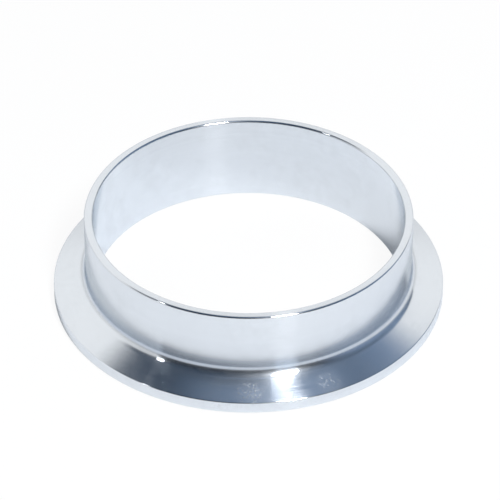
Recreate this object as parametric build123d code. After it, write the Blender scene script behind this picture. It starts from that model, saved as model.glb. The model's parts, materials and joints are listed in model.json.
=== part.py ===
from build123d import *
from math import radians, sqrt, tan
import os

# Sanitary clamp ferrule: a short tube end and a clamp flange, turned from one piece of steel.
# Millimetres. The gasket face lies on z = 0 and the bore runs up Z to the weld end.

# Tube end, butt-welded to a tube of the same outside diameter and wall
tube_od = 76.1
tube_wall = 2.0
ferrule_length = 21.5       # gasket face to weld end
weld_outer_break = 0.2      # deburring chamfers on the weld end
weld_inner_break = 0.35

# Clamp flange
flange_reach = 7.45         # how far the rim stands out from the tube
rim_height = 2.85           # plain cylindrical edge below the clamp taper
clamp_taper = 20.0          # degrees between the back of the flange and its gasket face
root_radius = 2.5           # where the taper runs into the tube
rim_edge_break = 0.2        # deburring chamfers on both edges of the rim
bore_lip_break = 0.1        # edge of the bore at the gasket face

# Groove in the gasket face that the gasket's bead sits in
groove_inset = 3.75         # rim to the middle of the groove
groove_depth = 1.6
groove_radius = 2.3         # round bottom of the groove
groove_lip_break = 0.15

tube_radius = tube_od / 2
bore_radius = tube_radius - tube_wall
flange_radius = tube_radius + flange_reach
root_height = rim_height + flange_reach * tan(radians(clamp_taper))

# Corners of the half section, as (radius, height), before their edges are eased
bore_lip = (bore_radius, 0)
rim_bottom = (flange_radius, 0)
rim_top = (flange_radius, rim_height)
root = (tube_radius, root_height)
weld_outer = (tube_radius, ferrule_length)
weld_inner = (bore_radius, ferrule_length)


def corner(section, point):
    """The vertex of the section that lies at a point."""
    return section.vertices().sort_by_distance(point)[0]


def body_section():
    """Half section of the tube end and the flange, with a sharp gasket face."""
    section = make_face(Polyline(bore_lip, rim_bottom, rim_top, root, weld_outer, weld_inner, close=True))
    section = fillet(corner(section, root), root_radius)
    section = chamfer(corner(section, rim_top), rim_edge_break)
    section = chamfer(corner(section, rim_bottom), rim_edge_break)
    section = chamfer(corner(section, bore_lip), bore_lip_break)
    section = chamfer(corner(section, weld_outer), weld_outer_break)
    return chamfer(corner(section, weld_inner), weld_inner_break)


def cut_groove(section):
    """Round-bottomed groove in the gasket face, with its two lips eased."""
    middle = flange_radius - groove_inset
    centre_height = groove_depth - groove_radius
    half_width = sqrt(groove_radius**2 - centre_height**2)
    section -= Pos(middle, centre_height) * Circle(groove_radius)
    for side in (-1, 1):
        section = chamfer(corner(section, (middle + side * half_width, 0)), groove_lip_break)
    return section


def turned_ferrule():
    """The half section turned about the bore axis."""
    section = cut_groove(body_section())
    return revolve(Plane.XZ * section, axis=Axis.Z)


ferrule = turned_ferrule()
ferrule.label = "ferrule"
os.makedirs("parts", exist_ok=True)
export_step(ferrule, "parts/ferrule.step")
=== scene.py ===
import json
import math

import bpy
from mathutils import Matrix, Vector


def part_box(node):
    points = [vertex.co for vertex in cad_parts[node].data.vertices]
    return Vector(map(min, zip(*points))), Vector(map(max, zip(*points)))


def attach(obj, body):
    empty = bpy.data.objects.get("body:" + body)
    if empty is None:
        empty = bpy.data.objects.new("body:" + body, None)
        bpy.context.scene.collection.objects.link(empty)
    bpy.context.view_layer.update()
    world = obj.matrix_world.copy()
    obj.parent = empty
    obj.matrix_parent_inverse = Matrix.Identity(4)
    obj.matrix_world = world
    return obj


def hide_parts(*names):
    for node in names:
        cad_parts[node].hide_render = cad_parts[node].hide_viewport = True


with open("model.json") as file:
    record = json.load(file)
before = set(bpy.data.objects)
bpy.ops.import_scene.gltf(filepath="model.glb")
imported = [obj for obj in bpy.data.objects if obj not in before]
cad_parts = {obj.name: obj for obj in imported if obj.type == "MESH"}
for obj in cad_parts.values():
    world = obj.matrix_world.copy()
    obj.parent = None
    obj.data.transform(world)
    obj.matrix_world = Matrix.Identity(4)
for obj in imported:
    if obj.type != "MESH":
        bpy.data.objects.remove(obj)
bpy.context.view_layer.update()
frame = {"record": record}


# ---------------------------------------------------------------------------------------------
# The ferrule: one ring of stainless steel, turned from one piece. A short tube end rises from a
# clamp flange whose back slopes at 20 degrees. Every edge is eased, and the gasket face, which it
# stands on, has a round-bottomed groove.

MM = 0.001
mounts = {mount["name"]: mount for mount in frame["record"]["mounts"]}
bore_radius = mounts["bore"]["dims"]["r_mm"] * MM
tube_radius = mounts["tube_end"]["dims"]["r_mm"] * MM
flange_radius = mounts["flange_rim"]["dims"]["r_mm"] * MM
weld_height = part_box("ferrule")[1].z

# The sloping back of the flange, from the one point on it that the clamp's mount gives
taper = math.tan(math.radians(20))
taper_point = Vector(mounts["clamp_taper"]["pos_m"])
rim_height = taper_point.z - (flange_radius - taper_point.x) * taper
root_height = rim_height + (flange_radius - tube_radius) * taper
root_radius = 2.5 * MM

# The gasket groove, from the deepest point of its round bottom
groove_bottom = Vector(mounts["gasket_groove"]["pos_m"])
groove_radius = 2.3 * MM
groove_centre = groove_bottom.z - groove_radius
groove_half_width = math.sqrt(groove_radius**2 - groove_centre**2)

# How much each edge is eased
weld_outer_ease = 0.42 * MM
weld_inner_ease = 0.45 * MM
rim_ease = 0.3 * MM
bore_lip_ease = 0.1 * MM
groove_lip_ease = 0.12 * MM

# Steps along each rounding of the half section, and round the ring
wide_steps = 28
weld_steps = 8
rim_steps = 7
lip_steps = 5
ring_steps = 512


def arc(centre, radius, start, end, steps):
    """Points of an arc in the half section, as (radius, height); angles in radians."""
    turns = [start + (end - start) * step / steps for step in range(steps + 1)]
    return [Vector((centre.x + radius * math.cos(a), centre.y + radius * math.sin(a))) for a in turns]


def eased(before, corner, after, radius, steps):
    """Points of the rounding of one corner, with a close point at each end to keep the flats flat."""
    into, out = (before - corner).normalized(), (after - corner).normalized()
    half = into.angle(out) / 2
    reach = radius / math.tan(half)
    centre = corner + (into + out).normalized() * (radius / math.sin(half))
    first, last = corner + into * reach - centre, corner + out * reach - centre
    sweep = first.angle_signed(last)
    start = math.atan2(first.y, first.x)
    points = arc(centre, radius, start, start - sweep, steps)
    margin = 0.12 * MM
    return [points[0] + into * margin, *points, points[-1] + out * margin]


def half_section():
    """The outline that the lathe follows, once round, as (radius, height) points."""
    bore_lip = Vector((bore_radius, 0))
    weld_inner = Vector((bore_radius, weld_height))
    weld_outer = Vector((tube_radius, weld_height))
    root = Vector((tube_radius, root_height))
    rim_top = Vector((flange_radius, rim_height))
    rim_bottom = Vector((flange_radius, 0))
    outer_lip = Vector((groove_bottom.x + groove_half_width, 0))
    inner_lip = Vector((groove_bottom.x - groove_half_width, 0))

    # The groove's arc stops short of both lips, by an angle that leaves them room to be eased
    lip_room = 0.06
    centre = Vector((groove_bottom.x, groove_centre))
    outer_end = math.acos(groove_half_width / groove_radius) + lip_room
    groove = arc(centre, groove_radius, outer_end, math.pi - outer_end, wide_steps)
    return [
        *eased(bore_lip, weld_inner, weld_outer, weld_inner_ease, weld_steps),
        *eased(weld_inner, weld_outer, root, weld_outer_ease, weld_steps),
        *eased(weld_outer, root, rim_top, root_radius, wide_steps),
        *eased(root, rim_top, rim_bottom, rim_ease, rim_steps),
        *eased(rim_top, rim_bottom, outer_lip, rim_ease, rim_steps),
        *eased(rim_bottom, outer_lip, groove[0], groove_lip_ease, lip_steps),
        *groove[2:-2],
        *eased(groove[-1], inner_lip, bore_lip, groove_lip_ease, lip_steps),
        *eased(inner_lip, bore_lip, weld_inner, bore_lip_ease, lip_steps),
    ]


def lathe_tree():
    """Geometry Nodes that carry a half section once round the Z axis."""
    tree = bpy.data.node_groups.new("lathe", "GeometryNodeTree")
    tree.is_modifier = True
    panel = tree.interface
    panel.new_socket("Half Section", in_out="INPUT", socket_type="NodeSocketGeometry")
    panel.new_socket("Pitch Radius", in_out="INPUT", socket_type="NodeSocketFloat")
    panel.new_socket("Steps Round", in_out="INPUT", socket_type="NodeSocketInt")
    panel.new_socket("Finish", in_out="INPUT", socket_type="NodeSocketMaterial")
    panel.new_socket("Turned", in_out="OUTPUT", socket_type="NodeSocketGeometry")
    add, link = tree.nodes.new, tree.links.new
    given, made = add("NodeGroupInput"), add("NodeGroupOutput")
    path = add("GeometryNodeCurvePrimitiveCircle")
    section = add("GeometryNodeMeshToCurve")
    turn = add("GeometryNodeCurveToMesh")
    smooth = add("GeometryNodeSetShadeSmooth")
    real = add("GeometryNodeRealizeInstances")
    finish = add("GeometryNodeSetMaterial")
    link(given.outputs["Half Section"], section.inputs["Mesh"])
    link(given.outputs["Pitch Radius"], path.inputs["Radius"])
    link(given.outputs["Steps Round"], path.inputs["Resolution"])
    link(path.outputs["Curve"], turn.inputs["Curve"])
    link(section.outputs["Curve"], turn.inputs["Profile Curve"])
    link(turn.outputs["Mesh"], smooth.inputs["Geometry"])
    link(smooth.outputs["Geometry"], real.inputs["Geometry"])
    link(real.outputs["Geometry"], finish.inputs["Geometry"])
    link(given.outputs["Finish"], finish.inputs["Material"])
    link(finish.outputs["Geometry"], made.inputs["Turned"])
    return tree


class Wire:
    """A shader socket that can stand in a sum: each operator adds the Math node that works it out."""

    def __init__(self, tree, socket=None):
        self.tree = tree
        self.socket = socket

    def node(self, kind, settings, sockets, output=0):
        """Adds any other node: its settings first, then the values or wires of its sockets."""
        added = self.tree.nodes.new(kind)
        for name, value in settings.items():
            setattr(added, name, value)
        for name, value in sockets.items():
            if isinstance(value, Wire):
                self.tree.links.new(value.socket, added.inputs[name])
            else:
                added.inputs[name].default_value = value
        return Wire(self.tree, added.outputs[output])

    def math(self, operation, *values):
        return self.node("ShaderNodeMath", {"operation": operation}, dict(enumerate(values)))

    def __add__(self, other):
        return self.math("ADD", self, other)

    def __sub__(self, other):
        return self.math("SUBTRACT", self, other)

    def __rsub__(self, other):
        return self.math("SUBTRACT", other, self)

    def __mul__(self, other):
        return self.math("MULTIPLY", self, other)

    __radd__ = __add__
    __rmul__ = __mul__

    def ramp(self, low, high):
        """0 below low, 1 above high, and smooth between them."""
        sockets = {"Value": self, "From Min": low, "From Max": high}
        return self.node("ShaderNodeMapRange", {"interpolation_type": "SMOOTHSTEP"}, sockets)

    def colour(self, first, second):
        """The colour first where this is 0, second where it is 1."""
        # A Mix node keeps its colours at inputs 6 and 7 and at output 2
        return self.node("ShaderNodeMix", {"data_type": "RGBA"}, {0: self, 6: first, 7: second}, 2)

    def surface(self, first, second):
        """The surface first where this is 0, second where it is 1."""
        return self.node("ShaderNodeMixShader", {}, {0: self, 1: first, 2: second})


steel_colour = (0.725, 0.762, 0.803, 1)
# The dark blue of a painted shade, laid on the tube just above the flange's root
painted_shade_colour = (0.19, 0.28, 0.42, 1)
rings_per_metre = 1500.0
ring_depth = 0.01 * MM
smears_per_metre = 90.0
flecks_per_metre = 1500.0

# How far out and how high the flange's back has been gripped
grip_radius = 43 * MM
grip_height = 3.8 * MM


def lathe_rings(steel, radius, height):
    """The fine rings that the tool leaves: a noise that changes only away from the axis and upwards."""
    ring = steel.node("ShaderNodeCombineXYZ", {}, {"X": radius, "Y": height})
    rings = {"Vector": ring, "Scale": rings_per_metre, "Detail": 3.0, "Roughness": 0.7}
    return steel.node("ShaderNodeTexNoise", {"noise_dimensions": "2D"}, rings)


def grip(steel, place, azimuth, reach):
    """1 in the middle of a place where the flange has been gripped, 0 from its edge outwards."""
    a = math.radians(azimuth)
    middle = (grip_radius * math.sin(a), -grip_radius * math.cos(a), grip_height)
    ends = {0: place, 1: middle}
    away = steel.node("ShaderNodeVectorMath", {"operation": "DISTANCE"}, ends, "Value")
    return 1 - away.ramp(0, reach)


def handling(steel, place):
    """How much the steel is marked: faint smears all over, and flecks where it has been gripped."""
    cloud = {"Vector": place, "Scale": smears_per_metre, "Detail": 4.0, "Roughness": 0.6}
    smears = steel.node("ShaderNodeTexNoise", {}, cloud).ramp(0.42, 0.75)
    grain = {"Vector": place, "Scale": flecks_per_metre, "Detail": 3.0, "Roughness": 0.6}
    flecks = steel.node("ShaderNodeTexNoise", {}, grain).ramp(0.45, 0.8)
    left = grip(steel, place, azimuth=-9, reach=9 * MM) * 0.4
    middle = grip(steel, place, azimuth=1, reach=5 * MM)
    right = grip(steel, place, azimuth=25, reach=4.5 * MM)
    return smears * 0.25 + (left + middle + right) * (0.2 + flecks)


def root_shade(radius, height):
    """Where the painted shade goes: 1 on the upper half of the radius at the flange's root, and fading
    out up the tube.
    """
    outside = radius.ramp(tube_radius - 0.55 * MM, tube_radius - 0.05 * MM)
    off_flange = height.ramp(5.9 * MM, 6.6 * MM)
    up_tube = height.ramp(7 * MM, 10.5 * MM)
    return outside * off_flange * (1 - up_tube)


def turned_steel():
    """Stainless steel with the fine rings that the lathe leaves, and the marks of handling.

    The rings spread a reflection up and down the section and leave it sharp round the ring. Where the
    steel has been handled it spreads more nearly both ways. Just above the flange's root the steel
    carries a painted shade of dark blue.
    """
    material = bpy.data.materials.new("turned_stainless_steel")
    material.use_nodes = True
    tree = material.node_tree
    steel = Wire(tree)
    place = steel.node("ShaderNodeTexCoord", {}, {}, "Object")
    level = steel.node("ShaderNodeVectorMath", {"operation": "MULTIPLY"}, {0: place, 1: (1, 1, 0)})
    radius = steel.node("ShaderNodeVectorMath", {"operation": "LENGTH"}, {0: level}, "Value")
    height = steel.node("ShaderNodeSeparateXYZ", {}, {0: place}, "Z")
    tool_marks = lathe_rings(steel, radius, height)
    relief = {"Strength": 0.3, "Distance": ring_depth, "Height": tool_marks}
    grooved = steel.node("ShaderNodeBump", {}, relief)

    def face(tint, roughness, anisotropy):
        """Steel under the rings: the more anisotropy, the sharper its reflection round the ring."""
        sockets = {"Color": tint, "Roughness": roughness, "Anisotropy": anisotropy, "Normal": grooved}
        return steel.node("ShaderNodeBsdfAnisotropic", {"distribution": "GGX"}, sockets)

    bright = face(steel_colour, roughness=0.07, anisotropy=0.9)
    # Painted shade: darker, bluer steel for the foot of the tube
    painted_shade = face(painted_shade_colour, roughness=0.14, anisotropy=0.9)
    handled = face(steel_colour, roughness=0.42, anisotropy=0.32)

    # The same steel where the rings are coarser. A quarter turn here is the others' rotation of 0.
    coarse = tree.nodes["Principled BSDF"]
    coarse.inputs["Base Color"].default_value = steel_colour
    coarse.inputs["Metallic"].default_value = 1.0
    coarse.inputs["Roughness"].default_value = 0.25
    coarse.inputs["Anisotropic"].default_value = 1.0
    coarse.inputs["Anisotropic Rotation"].default_value = 0.25
    tree.links.new(grooved.socket, coarse.inputs["Normal"])

    ringed = (tool_marks.ramp(0.3, 0.7) * 0.3).surface(bright, Wire(tree, coarse.outputs["BSDF"]))
    # Painted shade: the tube is darkened towards blue just above the flange's root
    shaded = (root_shade(radius, height) * 0.35).surface(ringed, painted_shade)
    marked = (0.03 + handling(steel, place) * 0.5).surface(shaded, handled)
    tree.links.new(marked.socket, tree.nodes["Material Output"].inputs["Surface"])
    return material


# The half section is drawn flat, with its heights downwards, and the tree turns it
outline = half_section()
joins = [(i, (i + 1) % len(outline)) for i in range(len(outline))]
drawing = bpy.data.meshes.new("half_section")
drawing.from_pydata([(p.x - tube_radius, -p.y, 0) for p in outline], joins, [])
blank = bpy.data.objects.new("blank", drawing)
bpy.context.scene.collection.objects.link(blank)
lathe = blank.modifiers.new("lathe", "NODES")
lathe.node_group = lathe_tree()
inputs = {item.name: item.identifier for item in lathe.node_group.interface.items_tree}
lathe[inputs["Pitch Radius"]] = tube_radius
lathe[inputs["Steps Round"]] = ring_steps
lathe[inputs["Finish"]] = turned_steel()
depsgraph = bpy.context.evaluated_depsgraph_get()
turned_mesh = bpy.data.meshes.new_from_object(blank.evaluated_get(depsgraph), depsgraph=depsgraph)
bpy.data.objects.remove(blank)
ferrule = bpy.data.objects.new("turned_ferrule", turned_mesh)
bpy.context.scene.collection.objects.link(ferrule)
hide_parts("ferrule")
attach(ferrule, "root")


# ---------------------------------------------------------------------------------------------
# The studio: a wide white table that runs into a white sweep behind, with the room dark above
# and in front. The steel shows that room. Two soft boxes light it, a large and a small one.

white = (1, 1, 1, 1)
black = (0, 0, 0, 1)
paper_white = (0.88, 0.88, 0.88, 1)
table_half_width = 3.0
table_gap = 0.02 * MM    # keeps the table's face and the ferrule's out of one plane


def white_table():
    """Matt paper with plain white laid over it: nearly all of it for the camera, a little for metal."""
    material = bpy.data.materials.new("white_table")
    material.use_nodes = True
    tree = material.node_tree
    tree.nodes.remove(tree.nodes["Principled BSDF"])
    paper = Wire(tree)
    kinds = ["Is Camera Ray", "Is Glossy Ray", "Is Transmission Ray"]
    camera_ray, glossy, through = [paper.node("ShaderNodeLightPath", {}, {}, kind) for kind in kinds]
    seen_white = camera_ray * 0.92 + glossy * 0.05 + through * 0.05
    matt = paper.node("ShaderNodeBsdfDiffuse", {}, {"Color": paper_white})
    glow = paper.node("ShaderNodeEmission", {}, {"Color": white, "Strength": 1.0})
    both = seen_white.surface(matt, glow)
    tree.links.new(both.socket, tree.nodes["Material Output"].inputs["Surface"])
    return material


signs = [(-1, -1), (1, -1), (1, 1), (-1, 1)]
corners = [(x * table_half_width, y * table_half_width, 0) for x, y in signs]
table_data = bpy.data.meshes.new("floor")
table_data.from_pydata(corners, [], [(0, 1, 2, 3)])
table_data.materials.append(white_table())
table = bpy.data.objects.new("floor", table_data)
table.location.z = -table_gap
bpy.context.scene.collection.objects.link(table)

# The room is worked out from the direction in which it is seen, as shares of right, back and up
world = bpy.data.worlds.new("room")
bpy.context.scene.world = world
world.use_nodes = True
room = Wire(world.node_tree)
seen_along = room.node("ShaderNodeTexCoord", {}, {}, "Generated")
right, back, up = [room.node("ShaderNodeSeparateXYZ", {}, {0: seen_along}, axis) for axis in "XYZ"]
sideways = right.math("ABSOLUTE", right)

# The sweep stands behind and reaches round to the left, with a low board beside it on the right.
# Their edges are slopes, of up over back or back over right, and a ramp softens each.
top_edge = back.math("MAXIMUM", back, 0.0) * 1.27 + sideways * 0.6 - right * 0.28 - up
left_edge = (back - right * 0.62).ramp(-0.06, 0.03)
right_edge = (back - right * 0.87).ramp(-0.04, 0.04)
low_board = (right * 0.12 + back * 0.12 - up).ramp(-0.03, 0.03) * right.ramp(0.3, 0.7)
sweep = low_board + (1 - low_board) * top_edge.ramp(-0.15, 0.2) * left_edge * right_edge

# It is dimmer towards the front and low down
to_the_back = 0.73 + (back + sideways * 0.62).ramp(0.1, 0.8) * 0.27
off_the_table = 0.75 + up.ramp(0.1, 0.4) * 0.25
white_room = (to_the_back * off_the_table).colour(black, (1.06, 1.06, 1.06, 1))

# The rest of the room is a dark blue, paler overhead, at the right and in the right back corner
ceiling = up.ramp(0.3, 0.9) * 0.06 + up.ramp(0.5, 0.9) * right.ramp(-0.1, 0.4) * 0.08
side_wall = right.ramp(0.6, 0.95) * 0.26
corner = right.ramp(0.2, 0.5) * back.ramp(0.1, 0.5) * up.ramp(0.35, 0.6) * 0.2
straight_up = {0: seen_along, 1: Vector((0.06, 0.2, 1)).normalized()}
overhead = room.node("ShaderNodeVectorMath", {"operation": "DOT_PRODUCT"}, straight_up, "Value")
dark_room = 0.02 + ceiling + side_wall + corner + overhead.ramp(0.94, 1.0) * 0.18
blue_room = dark_room.colour(black, (0.72, 1.0, 1.46, 1))

surroundings = sweep.colour(blue_room, white_room)
shown = room.node("ShaderNodeLightPath", {}, {}, "Is Camera Ray").colour(surroundings, white)
world.node_tree.links.new(shown.socket, world.node_tree.nodes["Background"].inputs["Color"])


lamp_distance = 0.8


def soft_box(name, azimuth, elevation, width, height, watts):
    """A lamp that faces the ferrule. Azimuth 0 is the camera's side, and right is positive."""
    a, e = math.radians(azimuth), math.radians(elevation)
    outwards = Vector((math.sin(a) * math.cos(e), -math.cos(a) * math.cos(e), math.sin(e)))
    data = bpy.data.lights.new(name, "AREA")
    data.shape = "RECTANGLE"
    data.size, data.size_y = width, height
    data.energy = watts
    lamp = bpy.data.objects.new(name, data)
    lamp.location = outwards * lamp_distance
    lamp.rotation_mode = "QUATERNION"
    lamp.rotation_quaternion = outwards.to_track_quat("Z", "Y")
    lamp.visible_camera = False
    bpy.context.scene.collection.objects.link(lamp)


soft_box("key_light", azimuth=30, elevation=55, width=0.135, height=0.2, watts=6.0)
soft_box("side_light", azimuth=-65, elevation=45, width=0.05, height=0.05, watts=0.25)


# ---------------------------------------------------------------------------------------------
# The camera: a long lens, some way off, that looks down on the ferrule from in front. It is
# rolled by a tenth of a degree.

camera_distance = 0.8342
camera_pitch = math.radians(38.2)
camera_roll = math.radians(0.11)
target = Vector((0.00033, 0, 0.0108))
camera_data = bpy.data.cameras.new("camera")
camera_data.sensor_width = 36.0
camera_data.lens = 258.2
camera_data.clip_start, camera_data.clip_end = 0.01, 20.0
camera = bpy.data.objects.new("camera", camera_data)
camera.location = target + Vector((0, -math.cos(camera_pitch), math.sin(camera_pitch))) * camera_distance
tilt = Matrix.Rotation(math.radians(90) - camera_pitch, 3, "X")
camera.rotation_euler = (tilt @ Matrix.Rotation(camera_roll, 3, "Z")).to_euler()
bpy.context.scene.collection.objects.link(camera)
bpy.context.scene.camera = camera

bpy.context.scene.view_settings.view_transform = "Standard"
